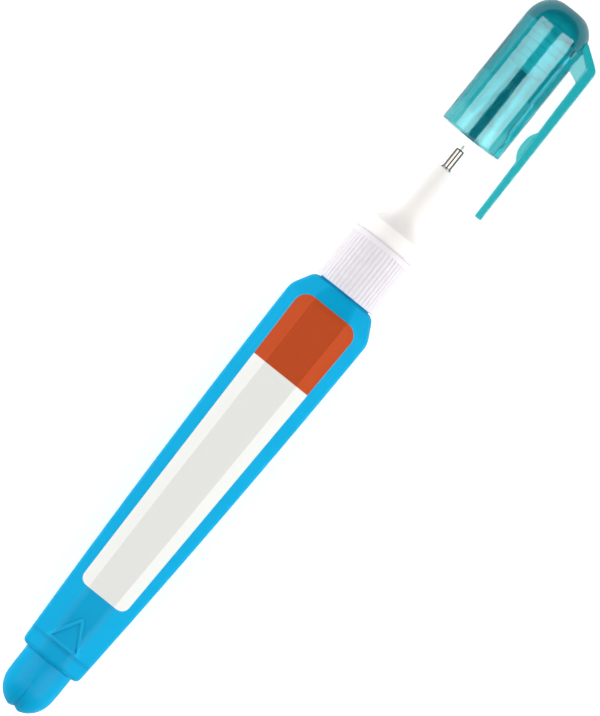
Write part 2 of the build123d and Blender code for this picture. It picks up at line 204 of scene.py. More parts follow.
def smoothed(name, mesh, material, sharp):
    mesh.polygons.foreach_set("use_smooth", [True] * len(mesh.polygons))
    mesh.set_sharp_from_angle(angle=math.radians(sharp))
    mesh.materials.clear()
    mesh.materials.append(material)
    piece = bpy.data.objects.new(name, mesh)
    scene.collection.objects.link(piece)
    flat = piece.modifiers.new("flat_sides", "WEIGHTED_NORMAL")
    flat.keep_sharp = True
    return piece


def fit(piece, body, slot, *nodes):
    # put a piece on its body, in the place of its CAD nodes
    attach(piece, body)
    if nodes:
        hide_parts(*nodes)
    print("piece", piece.name, len(piece.data.polygons), "faces on", body)


def merged(name, base, parts, material, sharp):
    # one skin from overlapping closed shapes, so that clear plastic has no walls inside
    for part in parts:
        cut = base.modifiers.new("join_" + part.name, "BOOLEAN")
        cut.operation = "UNION"
        cut.solver = "EXACT"
        cut.object = part
    joined = base.evaluated_get(bpy.context.evaluated_depsgraph_get())
    mesh = bpy.data.meshes.new_from_object(joined)
    mesh.name = name
    for used in [base] + parts:
        bpy.data.objects.remove(used)
    return smoothed(name, mesh, material, sharp)


# Materials

# Moulded polypropylene: satin, with a faint flow mottle, a fine peel and a soft depth
mouldLook = {"flowDetail": 3.0, "peelDetail": 2.0, "peelStrength": 0.05, "peelDepth": 0.02,
             "roughSwing": 0.05, "ior": 1.49}


def flowTint(tree, place, look):
    flow = noise(tree, place, look["flowSize"], mouldLook["flowDetail"])
    return mixed(tree, flow, look["deep"], look["base"])


def mouldedSkin(tree, place, colour, look):
    peel = noise(tree, place, look["peelSize"], mouldLook["peelDetail"])
    swing = mouldLook["roughSwing"]
    return addNode(tree, "ShaderNodeBsdfPrincipled", {
        "Base Color": colour,
        "Roughness": spread(tree, peel, look["rough"] - swing, look["rough"] + swing),
        "Normal": relief(tree, peel, mouldLook["peelStrength"], mouldLook["peelDepth"]),
        "IOR": mouldLook["ior"], "Specular IOR Level": look["shine"],
        "Subsurface Weight": look["soft"], "Subsurface Scale": look["softDepth"] * mm,
        "Subsurface Radius": look["softTint"]})


# Cyan: the wall lets a little light in, and the end of the plug inside is painted as a dim line of shade
# round the barrel
cyanLook = {
    "flowSize": 6.0, "peelSize": 0.25, "rough": 0.42, "shine": 0.07,
    "soft": 0.2, "softDepth": 0.6, "softTint": (0.3, 0.9, 1.0),
    "plugEnd": 2.7, "plugLine": 0.1, "plugFade": 0.45, "plugShare": 0.45, "plugShade": "#0483BD",
}
# the ridge copy is a lighter cyan: a painted highlight for the sides of the raised triangle catching the
# lamps
cyanTint = {
    "body": {"base": "#00AEE0", "deep": "#00A5D8"},
    "ridge_painted_highlight": {"base": "#14B6E6", "deep": "#0DAFE0"},
}


def cyanPolypropylene(kind):
    look = {**cyanLook, **cyanTint[kind]}
    material, tree, place = newMaterial("moulded_cyan_polypropylene_" + kind)
    # painted shade: a dim line round the barrel where the plug's end inside would show through the wall
    away = calc(tree, "SUBTRACT", axes(tree, place)[0], look["plugEnd"] * mm)
    away = calc(tree, "ABSOLUTE", away)
    line = spread(tree, away, look["plugShare"], 0.0, look["plugLine"] * mm, look["plugFade"] * mm)
    colour = mixed(tree, line, flowTint(tree, place, look), look["plugShade"])
    return ended(material, mouldedSkin(tree, place, colour, look))


# White: the collar is a little cool, the nozzle a little warm, and the valve pieces are greyer
whiteLook = {"flowSize": 3.0, "peelSize": 0.2, "shine": 0.15, "softTint": (1.0, 0.9, 0.85)}
whiteTint = {
    "collar": {"base": "#F6F0F6", "deep": "#F0EAF0", "rough": 0.42, "soft": 0.5, "softDepth": 1.2},
    "nozzle": {"base": "#FFFAF6", "deep": "#FDF6F1", "rough": 0.36, "soft": 0.45, "softDepth": 0.6},
    "valve": {"base": "#E6E4DC", "deep": "#DAD7CE", "rough": 0.45, "soft": 0.1, "softDepth": 0.8},
}


def whiteMoulding(kind):
    look = {**whiteLook, **whiteTint[kind]}
    material, tree, place = newMaterial("moulded_white_polypropylene_" + kind)
    return ended(material, mouldedSkin(tree, place, flowTint(tree, place, look), look))


# Polypropylene film, printed and laminated: white stock with a solid orange field at the front
filmLook = {
    "white": "#EEEFEB", "orange": "#C04A1A", "printX": 52.7, "inkEdge": 0.06, "inkThin": 0.96,
    "inkFull": 1.03, "grainSize": 0.12, "grainDetail": 2.0, "grainStrength": 0.04, "grainDepth": 0.01,
    "rough": 0.4, "ior": 1.5, "shine": 0.08,
}


def printedFilm():
    look = filmLook
    material, tree, place = newMaterial("printed_label_film")
    grain = noise(tree, place, look["grainSize"], look["grainDetail"])
    edge = spread(tree, axes(tree, place)[0], 0.0, 1.0,
                  (look["printX"] - look["inkEdge"]) * mm, (look["printX"] + look["inkEdge"]) * mm)
    ink = mixed(tree, edge, look["white"], look["orange"])
    dots = spread(tree, grain, look["inkThin"], look["inkFull"])
    skin = addNode(tree, "ShaderNodeBsdfPrincipled", {
        "Base Color": mixed(tree, 1.0, ink, dots, "MULTIPLY"),
        "Normal": relief(tree, grain, look["grainStrength"], look["grainDepth"]),
        "Roughness": look["rough"], "IOR": look["ior"], "Specular IOR Level": look["shine"]})
    return ended(material, skin)


# Stainless steel, turned or drawn: bright, with fine rings round the axis
steelLook = {"stretch": (1.0, 0.1, 0.1), "ringDetail": 2.0, "ringStrength": 0.06, "ringDepth": 0.01,
             "brighter": 0.04, "duller": 0.06}
steelTint = {
    "tip": {"base": "#8C8782", "deep": "#6E6A66", "rough": 0.14, "ringSize": 0.08},
    "needle": {"base": "#8F8B86", "deep": "#6E6B67", "rough": 0.28, "ringSize": 0.05},
    "spring": {"base": "#C4C2BD", "deep": "#A19E99", "rough": 0.3, "ringSize": 0.15},
    "ball": {"base": "#CBCAC7", "deep": "#B7B5B1", "rough": 0.1, "ringSize": 0.4},
}


def steel(kind):
    look = {**steelLook, **steelTint[kind]}
    material, tree, place = newMaterial("stainless_steel_" + kind)
    drawn = addNode(tree, "ShaderNodeMapping", {"Vector": place, "Scale": look["stretch"]}).outputs[0]
    rings = noise(tree, drawn, look["ringSize"], look["ringDetail"])
    skin = addNode(tree, "ShaderNodeBsdfPrincipled", {
        "Metallic": 1.0, "Base Color": mixed(tree, rings, look["deep"], look["base"]),
        "Roughness": spread(tree, rings, look["rough"] - look["brighter"], look["rough"] + look["duller"]),
        "Normal": relief(tree, rings, look["ringStrength"], look["ringDepth"])})
    return ended(material, skin)


# Foam rubber, die-cut from sheet: dull and pale, with fine cells
foamLook = {"base": "#E1E1DD", "deep": "#D6D6D1", "cellSize": 0.3, "cellDetail": 4.0, "cellStrength": 0.1,
            "cellDepth": 0.02, "roughLow": 0.6, "roughHigh": 0.8, "ior": 1.52}


def foamRubber():
    look = foamLook
    material, tree, place = newMaterial("die_cut_foam_rubber")
    cells = noise(tree, place, look["cellSize"], look["cellDetail"])
    skin = addNode(tree, "ShaderNodeBsdfPrincipled", {
        "Base Color": mixed(tree, cells, look["deep"], look["base"]), "IOR": look["ior"],
        "Roughness": spread(tree, cells, look["roughLow"], look["roughHigh"]),
        "Normal": relief(tree, cells, look["cellStrength"], look["cellDepth"])})
    return ended(material, skin)


# Polystyrene, injection moulded and tinted teal: clear and glossy with a little haze, deeper where thick
clearLook = {
    "tint": "#53EAED", "density": 1150.0, "lampTint": "#5CBEC4", "haze": "#0C9CAA", "hazeShare": 0.08,
    "ior": 1.52, "roughLow": 0.015, "roughHigh": 0.05,
    "rippleSize": 1.5, "rippleDetail": 1.0, "rippleStrength": 0.08, "rippleDepth": 0.05,
}


def clearPolystyrene():
    look = clearLook
    material, tree, place = newMaterial("clear_teal_polystyrene")
    ripple = noise(tree, place, look["rippleSize"], look["rippleDetail"])
    glass = addNode(tree, "ShaderNodeBsdfPrincipled", {
        "Base Color": toLinear("#FFFFFF"), "IOR": look["ior"], "Transmission Weight": 1.0,
        "Roughness": spread(tree, ripple, look["roughLow"], look["roughHigh"]),
        "Normal": relief(tree, ripple, look["rippleStrength"], look["rippleDepth"])})
    haze = addNode(tree, "ShaderNodeBsdfDiffuse", {"Color": toLinear(look["haze"])})
    skin = addNode(tree, "ShaderNodeMixShader",
                   {0: look["hazeShare"], 1: glass.outputs[0], 2: haze.outputs[0]})
    # lamps shine through it and come out tinted
    shadow = addNode(tree, "ShaderNodeLightPath").outputs["Is Shadow Ray"]
    through = addNode(tree, "ShaderNodeBsdfTransparent", {"Color": toLinear(look["lampTint"])})
    skin = addNode(tree, "ShaderNodeMixShader", {0: shadow, 1: skin.outputs[0], 2: through.outputs[0]})
    depth = addNode(tree, "ShaderNodeVolumeAbsorption",
                    {"Color": toLinear(look["tint"]), "Density": look["density"]})
    return ended(material, skin, depth)


# Natural polyethylene, moulded thin: half clear and milky, so that its grooves show as rings through the cap
milkyLook = {"base": "#F6FBFA", "deep": "#EAF2F2", "cloudSize": 2.0, "cloudDetail": 3.0, "roughLow": 0.1,
             "roughHigh": 0.2, "ior": 1.51, "through": 0.35}


def naturalPolyethylene():
    look = milkyLook
    material, tree, place = newMaterial("moulded_natural_polyethylene")
    cloud = noise(tree, place, look["cloudSize"], look["cloudDetail"])
    skin = addNode(tree, "ShaderNodeBsdfPrincipled", {
        "Base Color": mixed(tree, cloud, look["deep"], look["base"]),
        "Roughness": spread(tree, cloud, look["roughLow"], look["roughHigh"]),
        "IOR": look["ior"], "Transmission Weight": look["through"]})
    return ended(material, skin)


cyan = cyanPolypropylene("body")
clear = clearPolystyrene()
print("materials ready")

# Barrel

barrelLook = {
    "length": 67.2, "sides": 8, "rearFlats": 10.0, "shoulderFlats": 14.1, "frontFlats": 10.28, "belly": 0.33,
    "shoulder": 3.5, "rearInset": 1.0, "rearRound": 0.9, "shoulderRound": 3.4, "frontRound": 1.5,
    "edgeRound": 0.7, "rings": 18, "roundSteps": 6, "sameBearing": 0.001, "squareOn": 0.99, "sharp": 25,
    "neckRadius": 4.4, "neckBore": 3.3, "neckEnd": 74.1, "boreEnd": 66.0,
}
shoulderX = barrelLook["length"] - barrelLook["shoulder"]
halfAngle = math.pi / barrelLook["sides"]  # from the middle of a side to its corner


def sideHalf(x):
    # from the axis to the middle of a long side, in mm
    share = x / shoulderX
    grow = (barrelLook["shoulderFlats"] - barrelLook["rearFlats"]) / 2
    return barrelLook["rearFlats"] / 2 + grow * share + 4 * barrelLook["belly"] * share * (1 - share)


def barrelProfile():
    look = barrelLook
    steps = [shoulderX * i / look["rings"] for i in range(1, look["rings"])]
    rear = look["rearFlats"] / 2
    outline = [(0, rear - look["rearInset"], 0), (0, rear, look["rearRound"])]
    outline += [(x, sideHalf(x), 0) for x in steps]
    outline += [(shoulderX, sideHalf(shoulderX), look["shoulderRound"]),
                (look["length"], look["frontFlats"] / 2, look["frontRound"]),
                (look["length"], look["frontFlats"] / 2 - look["frontRound"], 0)]
    return softProfile(outline, look["roundSteps"])


barrelRings = barrelProfile()


def barrelHalf(x):
    # from the axis to the finished skin, with its soft shoulder, in mm
    for near, far in zip(barrelRings, barrelRings[1:]):
        if near[0] <= x < far[0]:
            return near[1] + (far[1] - near[1]) * (x - near[0]) / (far[0] - near[0])


def barrelTop(x, y):
    # height of the upper three sides over the plan, in mm: the outer two slope at 45 degrees
    half = barrelHalf(x)
    return min(half, half * math.sqrt(2) - abs(y))


def barrelMesh():
    look = barrelLook
    size = barrelRings[0][1]
    bm = bmesh.new()
    turn = Matrix.Rotation(math.pi / 2, 4, "Y") @ Matrix.Rotation(halfAngle, 4, "Z")
    bmesh.ops.create_circle(bm, cap_ends=True, radius=size / math.cos(halfAngle) * mm,
                            segments=look["sides"], matrix=turn)
    face = bm.faces[:][0]
    for x, half in barrelRings[1:]:
        face = pull(bm, [face])[0][0]
        for v in face.verts:
            v.co = Vector((x * mm, v.co.y * half / size, v.co.z * half / size))
        size = half
    bmesh.ops.recalc_face_normals(bm, faces=bm.faces)
    long = [e for e in bm.edges
            if abs(bearing(e.verts[0].co) - bearing(e.verts[1].co)) < look["sameBearing"]]
    roundEdges(bm, long, look["edgeRound"])
    # round neck out of the front face, with its bore
    face = max((f for f in bm.faces if f.normal.x > look["squareOn"]), key=lambda f: f.calc_area())
    for x, radius in ((look["length"], look["neckRadius"]), (look["neckEnd"], look["neckRadius"]),
                      (look["neckEnd"], look["neckBore"]), (look["boreEnd"], look["neckBore"])):
        face = pull(bm, [face])[0][0]
        for v in face.verts:
            away = Vector((0, v.co.y, v.co.z)).normalized() * radius * mm
            v.co = Vector((x * mm, away.y, away.z))
    bmesh.ops.recalc_face_normals(bm, faces=bm.faces)
    return bm


fit(toPiece("barrel_body", barrelMesh(), cyan, barrelLook["sharp"]), "pen", "barrel_blue", "barrel")

# Raised triangles, drawn flat and then laid on the surface under them

barrelMark = {"base": 3.0, "apex": 8.2, "half": 3.05, "width": 0.42, "proud": 0.14, "sunk": 0.15,
              "crease": 60, "soft": 0.05, "softSteps": 2, "cuts": 6, "folds": (-2.15, 2.15), "sharp": 40}


def triangleRidge(look, height):
    outline = [(look["base"], look["half"]), (look["base"], -look["half"]), (look["apex"], 0)]
    bm = bmesh.new()
    face = bm.faces.new([bm.verts.new((x * mm, y * mm, 0)) for x, y in outline])
    bm.normal_update()
    bmesh.ops.inset_region(bm, faces=[face], thickness=look["width"] * mm, use_boundary=True,
                           use_even_offset=True)
    bmesh.ops.delete(bm, geom=[face], context="FACES_ONLY")
    bmesh.ops.subdivide_edges(bm, edges=bm.edges, cuts=look["cuts"], use_grid_fill=True)
    for y in look["folds"]:
        bmesh.ops.bisect_plane(bm, geom=bm.verts[:] + bm.edges[:] + bm.faces[:], plane_co=(0, y * mm, 0),
                               plane_no=(0, 1, 0))
    high = set(pull(bm, bm.faces[:])[1])
    for v in bm.verts:
        x, y = v.co.x / mm, v.co.y / mm
        v.co.z = (height(x, y) + (look["proud"] if v in high else -look["sunk"])) * mm
    bmesh.ops.recalc_face_normals(bm, faces=bm.faces)
    roundEdges(bm, sharpEdges(bm, look["crease"]), look["soft"], look["softSteps"])
    return bm


# the barrel triangle takes the lighter cyan copy, a painted highlight
fit(toPiece("barrel_triangle", triangleRidge(barrelMark, barrelTop), cyanPolypropylene("ridge_painted_highlight"),
            barrelMark["sharp"]), "pen", "barrel_blue")

# Tail plug

tailLook = {
    "radius": 4.0, "seat": 0.05, "midRing": 1.5, "straight": 3.2, "run": 1.05, "runSteps": 4,
    "domeRadius": 3.97, "dome": 4.35, "rings": 28, "steps": 192, "sharp": 30,
    "fluteFade": 0.8, "endDepth": 0.5, "sideDepth": 0.16, "endHalf": 0.95, "sideHalf": 0.35,
}


def tailMesh():
    look = tailLook
    domeX = look["straight"] + look["run"]
    line = [(look["seat"], 0)]
    line += [(x, look["radius"]) for x in (look["seat"], -look["midRing"], -look["straight"])]
    for k in range(1, look["runSteps"]):
        narrow = (look["domeRadius"] - look["radius"]) * k / look["runSteps"]
        line.append((-look["straight"] - look["run"] * k / look["runSteps"], look["radius"] + narrow))
    for k in range(look["rings"] + 1):
        angle = math.pi / 2 * k / look["rings"]
        line.append((-domeX - look["dome"] * math.sin(angle), look["domeRadius"] * math.cos(angle)))
    bm = turned(line, look["steps"], closed=False)
    # four flutes: press the skin in along the two planes through the axis
    for v in bm.verts:
        along = max((-v.co.x / mm - domeX) / look["dome"], 0.0)
        fade = min(max((-v.co.x / mm - look["straight"]) / look["fluteFade"], 0.0), 1.0)
        depth = (look["sideDepth"] + (look["endDepth"] - look["sideDepth"]) * along) * fade
        half = look["sideHalf"] + (look["endHalf"] - look["sideHalf"]) * along
        side = min(abs(v.co.y), abs(v.co.z)) / mm
        press = depth * max(0.0, 1 - side / half)
        slope = Vector((-math.sin(along * math.pi / 2), 0, 0))
        away = Vector((0, v.co.y, v.co.z))
        if away.length > weld:
            slope += away.normalized() * math.cos(along * math.pi / 2)
        v.co -= slope * press * mm
    return bm


fit(toPiece("tail_post", tailMesh(), cyan, tailLook["sharp"]), "pen", "tail_blue", "tail_plug")

# Label

labelLook = {"rear": 12.0, "front": 64.25, "rearMargin": 1.55, "frontMargin": 1.95, "rearRound": 1.2,
             "frontRound": 2.0, "cornerSteps": 9, "rings": 12, "lift": 0.1, "thickness": 0.09,
             "foldAngle": 20, "foldRound": 0.2, "sharp": 40}


def labelSide():
    # (x, half width) from end to end, with round corners
    look = labelLook
    rearHalf = sideHalf(look["rear"]) - look["rearMargin"]
    frontHalf = sideHalf(shoulderX) - look["frontMargin"]
    side = softProfile([
        (look["rear"], 0, 0), (look["rear"], rearHalf, look["rearRound"]),
        (look["front"], frontHalf, look["frontRound"]), (look["front"], 0, 0)], look["cornerSteps"])[1:-1]
    ahead = look["cornerSteps"] + 1
    rear, front = side[ahead - 1], side[ahead]
    middle = [rear.lerp(front, k / look["rings"]) for k in range(1, look["rings"])]
    return side[:ahead] + middle + side[ahead:]


def labelMesh():
    look = labelLook
    side = labelSide()
    reach = 0.5  # the grid runs this far each way before it is laid out
    bm = bmesh.new()
    bmesh.ops.create_grid(bm, x_segments=len(side) - 1, y_segments=3, size=reach)
    for v in bm.verts:
        x, edge = side[round((v.co.x + reach) * (len(side) - 1))]
        half = edge if abs(v.co.y) > reach / 2 else barrelHalf(x) * math.tan(halfAngle)
        y = math.copysign(half, v.co.y)
        v.co = Vector((x, y, barrelTop(x, y) + look["lift"])) * mm
    roundEdges(bm, sharpEdges(bm, look["foldAngle"]), look["foldRound"])
    bmesh.ops.recalc_face_normals(bm, faces=bm.faces)
    if sum(f.normal.z for f in bm.faces) < 0:
        bmesh.ops.reverse_faces(bm, faces=bm.faces)
    bmesh.ops.solidify(bm, geom=bm.faces[:], thickness=look["thickness"] * mm)
    return bm


fit(toPiece("label_film", labelMesh(), printedFilm(), labelLook["sharp"]), "pen", "label_film",
    "front_label")

# Collar

collarLook = {"rear": 67.4, "front": 76.45, "radius": 5.14, "bore": 4.5, "lipBore": 4.1, "lip": 0.95,
              "chamfer": 0.2, "chamferRound": 0.12, "roundSteps": 2, "ribEnd": 75.5, "ribs": 48,
              "grooveDepth": 0.09, "grooveSlope": 0.1, "sharp": 25}


def collarMesh():
    look = collarLook
    lipX = look["front"] - look["lip"]
    line = softProfile([
        (look["rear"], look["bore"], 0), (look["rear"], look["radius"], 0),
        (look["ribEnd"], look["radius"], 0),
        (look["front"] - look["chamfer"], look["radius"], look["chamferRound"]),
        (look["front"], look["radius"] - look["chamfer"], look["chamferRound"]),
        (look["front"], look["lipBore"], 0), (lipX, look["lipBore"], 0), (lipX, look["bore"], 0)],
        look["roundSteps"])
    bm = turned(line, 2 * look["ribs"])
    grooves = []
    for f in bm.faces:
        middle = f.calc_center_median()
        outside = math.hypot(middle.y, middle.z) / mm > look["radius"] - look["grooveDepth"]
        column = int(math.degrees(bearing(middle)) % 360 / (180 / look["ribs"]))
        if outside and look["rear"] < middle.x / mm < look["ribEnd"] and column % 2:
            grooves.append(f)
    bmesh.ops.inset_individual(bm, faces=grooves, thickness=look["grooveSlope"] * mm,
                               depth=-look["grooveDepth"] * mm, use_even_offset=True)
    return bm


fit(toPiece("collar_ring", collarMesh(), whiteMoulding("collar"), collarLook["sharp"]), "pen",
    "collar_white", "ribbed_collar")

# Nozzle

nozzleLook = {
    "plugRear": 70.6, "plug": 3.28, "flangeRear": 74.6, "flangeFront": 75.5, "flange": 4.4, "bore": 2.53,
    "spigot": 4.04, "spigotEnd": 78.95, "edgeRear": 0.12, "edgeFront": 0.03, "edgeDrop": 0.04,
    "throatX": 82.55, "throat": 2.29, "noseX": 90.25, "nose": 1.57, "noseRound": 0.15, "noseSteps": 4,
    "tipSeat": 86.45, "tipBore": 0.71, "channelRear": 80.95, "channel": 0.9, "steps": 96, "flareSteps": 12,
    "sharp": 30,
}


def flarePoints(look):
    # arc that leaves the cone in its own line and meets the end of the spigot
    start = Vector((look["throatX"], look["throat"]))
    ends = Vector((look["spigotEnd"], look["spigot"]))
    lead = Vector((look["throatX"] - look["noseX"], look["throat"] - look["nose"])).normalized()
    chord = ends - start
    square = Vector((-lead.y, lead.x))
    if square.dot(chord) < 0:
        square = -square
    radius = chord.length_squared / (2 * square.dot(chord))
    centre = start + square * radius
    turn = (start - centre).angle_signed(ends - centre)
    return [centre + Matrix.Rotation(-turn * k / look["flareSteps"], 2) @ (start - centre)
            for k in range(look["flareSteps"] + 1)]


def nozzleMesh():
    look = nozzleLook
    plug = [(look["plugRear"], look["bore"]), (look["plugRear"], look["plug"]),
            (look["flangeRear"], look["plug"]), (look["flangeRear"], look["flange"]),
            (look["flangeFront"], look["flange"]), (look["flangeFront"], look["spigot"])]
    edge = [(look["spigotEnd"] - look["edgeRear"], look["spigot"]),
            (look["spigotEnd"] - look["edgeFront"], look["spigot"] - look["edgeDrop"])]
    flare = flarePoints(look)[::-1][1:]
    front = softProfile([
        (look["throatX"], look["throat"], 0), (look["noseX"], look["nose"], look["noseRound"]),
        (look["noseX"], look["tipBore"], 0)], look["noseSteps"])[1:]
    inside = [(look["tipSeat"], look["tipBore"]), (look["tipSeat"], look["channel"]),
              (look["channelRear"], look["channel"]), (look["spigotEnd"], look["bore"])]
    return turned(plug + edge + flare + front + inside, look["steps"])


fit(toPiece("nozzle_cone", nozzleMesh(), whiteMoulding("nozzle"), nozzleLook["sharp"]), "pen",
    "nozzle_white", "nozzle")

# Metal tip and needle

tipLook = {"rear": 86.45, "seatX": 90.25, "front": 93.75, "radius": 0.69, "flange": 0.85, "flangeEnd": 90.5,
           "bore": 0.4, "orifice": 0.22, "frontWall": 0.5, "rimRear": 0.06, "rimFront": 0.08,
           "footRound": 0.05, "frontRound": 0.24, "orificeRound": 0.05, "steps": 64, "sharp": 35}
needleLook = {"rear": 76.15, "radius": 0.3, "shoulder": 93.2, "shoulderRound": 0.05, "pin": 0.16,
              "front": 94.55, "frontRound": 0.1, "steps": 32, "sharp": 35}


def tipMesh():
    look = tipLook
    wallX = look["front"] - look["frontWall"]
    return turned(softProfile([
        (look["rear"], look["bore"], 0), (look["rear"], look["radius"], 0),
        (look["seatX"], look["radius"], 0), (look["seatX"], look["flange"], look["rimRear"]),
        (look["flangeEnd"], look["flange"], look["rimFront"]),
        (look["flangeEnd"], look["radius"], look["footRound"]),
        (look["front"], look["radius"], look["frontRound"]),
        (look["front"], look["orifice"], look["orificeRound"]),
        (wallX, look["orifice"], 0), (wallX, look["bore"], 0)]), look["steps"])


def needleMesh():
    look = needleLook
    return turned(softProfile([
        (look["rear"], 0, 0), (look["rear"], look["radius"], 0),
        (look["shoulder"], look["radius"], look["shoulderRound"]), (look["shoulder"], look["pin"], 0),
        (look["front"], look["pin"], look["frontRound"]), (look["front"], 0, 0)]),
        look["steps"], closed=False)


fit(toPiece("tip_tube", tipMesh(), steel("tip"), tipLook["sharp"]), "pen", "tip_steel", "metal_tip")
fit(toPiece("needle_wire", needleMesh(), steel("needle"), needleLook["sharp"]), "needle", "needle_steel",
    "valve_needle")

# Valve spring

springLook = {"rear": 72.3, "front": 75.95, "radius": 1.4, "wire": 0.14, "wireSides": 10, "turns": 5,
              "steps": 160, "sharp": 50}


def springMesh():
    look = springLook
    bm = bmesh.new()
    start = Matrix.Translation((look["rear"] * mm, 0, look["radius"] * mm))
    bmesh.ops.create_circle(bm, cap_ends=True, radius=look["wire"] * mm, segments=look["wireSides"],
                            matrix=start @ Matrix.Rotation(math.pi / 2, 4, "X"))
    step = (look["front"] - look["rear"]) / look["steps"] * mm
    bmesh.ops.spin(bm, geom=bm.verts[:] + bm.edges[:] + bm.faces[:], cent=(0, 0, 0), axis=(1, 0, 0),
                   dvec=(step, 0, 0), angle=2 * math.pi * look["turns"], steps=look["steps"])
    bmesh.ops.recalc_face_normals(bm, faces=bm.faces)
    return bm


spring = toPiece("valve_coil", springMesh(), steel("spring"), springLook["sharp"])
fit(spring, "pen", "spring_steel", "valve_spring")
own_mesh(spring)

# Cap

capLook = {
    "mouth": 95.9, "radius": 5.05, "crownX": 114.97, "front": 119.37, "flat": 1.5,
    "mouthInRound": 0.12, "mouthOutRound": 0.2, "bore": 4.1, "gripEnd": 99.0, "coneEnd": 100.2, "upper": 3.6,
    "stepX": 104.85, "stepLong": 0.36, "sealBore": 3.24, "stopX": 114.97, "stopInner": 2.44,
    "crownInside": 116.87, "steps": 128, "crownSteps": 16, "sharp": 30,
}
clipLook = {
    "tipX": 87.6, "tipIn": -7.39, "rootX": 113.97, "rootIn": -6.7, "thickness": 1.14, "rootThick": 1.58,
    "slant": 2.1, "footX": 116.79, "footY": -4.85, "seat": -4.1, "elbow": 0.4, "elbowRound": 1.5,
    "innerRound": 0.4, "elbowSteps": 5, "tipHalf": 1.5, "rootHalf": 1.8, "tipReach": 0.01, "tipRound": 1.0,
    "tipSteps": 6, "crease": 50, "soft": 0.22, "softReach": 0.6,
}
webLook = {"back": 2.7, "slant": 1.3, "half": 0.6, "seat": -4.4}
bumpLook = {"rear": 97.55, "long": 5.0, "high": 0.84, "half": 1.0, "power": 2.8, "steps": 16, "sunk": 0.5,
            "crease": 60, "soft": 0.2, "softSteps": 2, "softReach": 0.05}


def capTube():
    look = capLook
    turns = [math.pi / 2 * k / look["crownSteps"] for k in range(look["crownSteps"] + 1)]
    # domed hollow
    deep = look["crownInside"] - look["stopX"]
    line = [(look["stopX"] + deep * math.cos(a), look["stopInner"] * math.sin(a)) for a in turns]
    # seal bore, sloped step, wider bore, cone, grip, mouth and side
    line += softProfile([
        (look["stopX"], look["sealBore"], 0), (look["stepX"] + look["stepLong"], look["sealBore"], 0),
        (look["stepX"], look["upper"], 0), (look["coneEnd"], look["upper"], 0),
        (look["gripEnd"], look["bore"], 0), (look["mouth"], look["bore"], look["mouthInRound"]),
        (look["mouth"], look["radius"], look["mouthOutRound"]), (look["crownX"], look["radius"], 0)])
    # crown with its small flat
    line += [(look["crownX"] + (look["front"] - look["crownX"]) * math.sin(a),
              look["flat"] + (look["radius"] - look["flat"]) * math.cos(a)) for a in turns[1:]]
    return turned(line + [(look["front"], 0)], look["steps"], closed=False)


def clipArm():
    look = clipLook
    bm = slab(softProfile([
        (look["tipX"], look["tipIn"], 0), (look["rootX"], look["rootIn"], look["innerRound"]),
        (look["rootX"] + look["slant"], look["seat"], 0), (look["footX"], look["seat"], 0),
        (look["footX"], look["footY"], 0),
        (look["rootX"] + look["elbow"], look["rootIn"] - look["rootThick"], look["elbowRound"]),
        (look["tipX"], look["tipIn"] - look["thickness"], 0)], look["elbowSteps"]),
        -look["rootHalf"], look["rootHalf"])
    # narrower at its free end, with round corners there
    tip = [v for v in bm.verts if v.co.x < (look["tipX"] + look["tipReach"]) * mm]
    for v in tip:
        v.co.z = math.copysign(look["tipHalf"] * mm, v.co.z)
    corners = [e for e in bm.edges if all(v in tip for v in e.verts)
               and e.verts[0].co.z * e.verts[1].co.z > 0]
    roundEdges(bm, corners, look["tipRound"], look["tipSteps"])
    outer = [e for e in sharpEdges(bm, look["crease"])
             if all(v.co.y < (look["rootIn"] + look["softReach"]) * mm for v in e.verts)]
    roundEdges(bm, outer, look["soft"])
    return bm


def clipWeb():
    # thin wall in the corner between the cap and the clip's root
    arm, look = clipLook, webLook
    deep = arm["rootIn"] - arm["thickness"] / 2
    rear = arm["rootX"] - look["back"]
    return slab([(rear, deep), (rear + look["slant"], look["seat"]),
                 (arm["rootX"] + arm["slant"], look["seat"]), (arm["rootX"] + arm["thickness"] / 2, deep)],
                -look["half"], look["half"])


def clipBump():
    arm, look = clipLook, bumpLook
    slope = (arm["rootIn"] - arm["tipIn"]) / (arm["rootX"] - arm["tipX"])
    seat = arm["tipIn"] + slope * (look["rear"] + look["long"] / 2 - arm["tipX"])
    line = []
    for k in range(look["steps"] + 1):
        share = k / look["steps"]
        rise = look["high"] * (1 - abs(2 * share - 1) ** look["power"])
        line.append((look["rear"] + look["long"] * share, seat + rise))
    line += [(look["rear"] + look["long"], seat - look["sunk"]), (look["rear"], seat - look["sunk"])]
    bm = slab(line, -look["half"], look["half"])
    sides = [e for e in sharpEdges(bm, look["crease"])
             if all(v.co.y > (seat + look["softReach"]) * mm for v in e.verts)]
    roundEdges(bm, sides, look["soft"], look["softSteps"])
    return bm


capMark = {"base": 101.2, "apex": 106.1, "half": 2.0, "width": 0.32, "proud": 0.14, "sunk": 0.25,
           "crease": 60, "soft": 0.04, "softSteps": 2, "cuts": 5, "folds": (), "under": 0.04}


def capTop(x, y):
    # a little under the round side of the cap, in mm
    return math.sqrt(max(capLook["radius"] ** 2 - y * y, 0.0)) - capMark["under"]


capParts = [toPiece("clip_arm", clipArm(), clear), toPiece("clip_web", clipWeb(), clear),
            toPiece("clip_bump", clipBump(), clear),
            toPiece("cap_triangle", triangleRidge(capMark, capTop), clear)]
capBase = toPiece("cap_tube", capTube(), clear)
capShell = merged("cap_shell", capBase, capParts, clear, capLook["sharp"])
fit(capShell, "cap", "cap_clear", "cap")

# Seal in the cap

sealLook = {
    "rear": 108.35, "front": 114.95, "radius": 3.22, "funnel": 1.92, "funnelEnd": 110.0, "funnelFloor": 1.72,
    "bore": 0.75, "boreEnd": 114.15, "grooves": (110.36, 112.94), "grooveHalf": 0.715, "grooveFoot": 0.42,
    "grooveDepth": 0.3, "grooveRound": 0.1, "endRound": 0.9, "roundSteps": 6, "steps": 96, "sharp": 30,
}


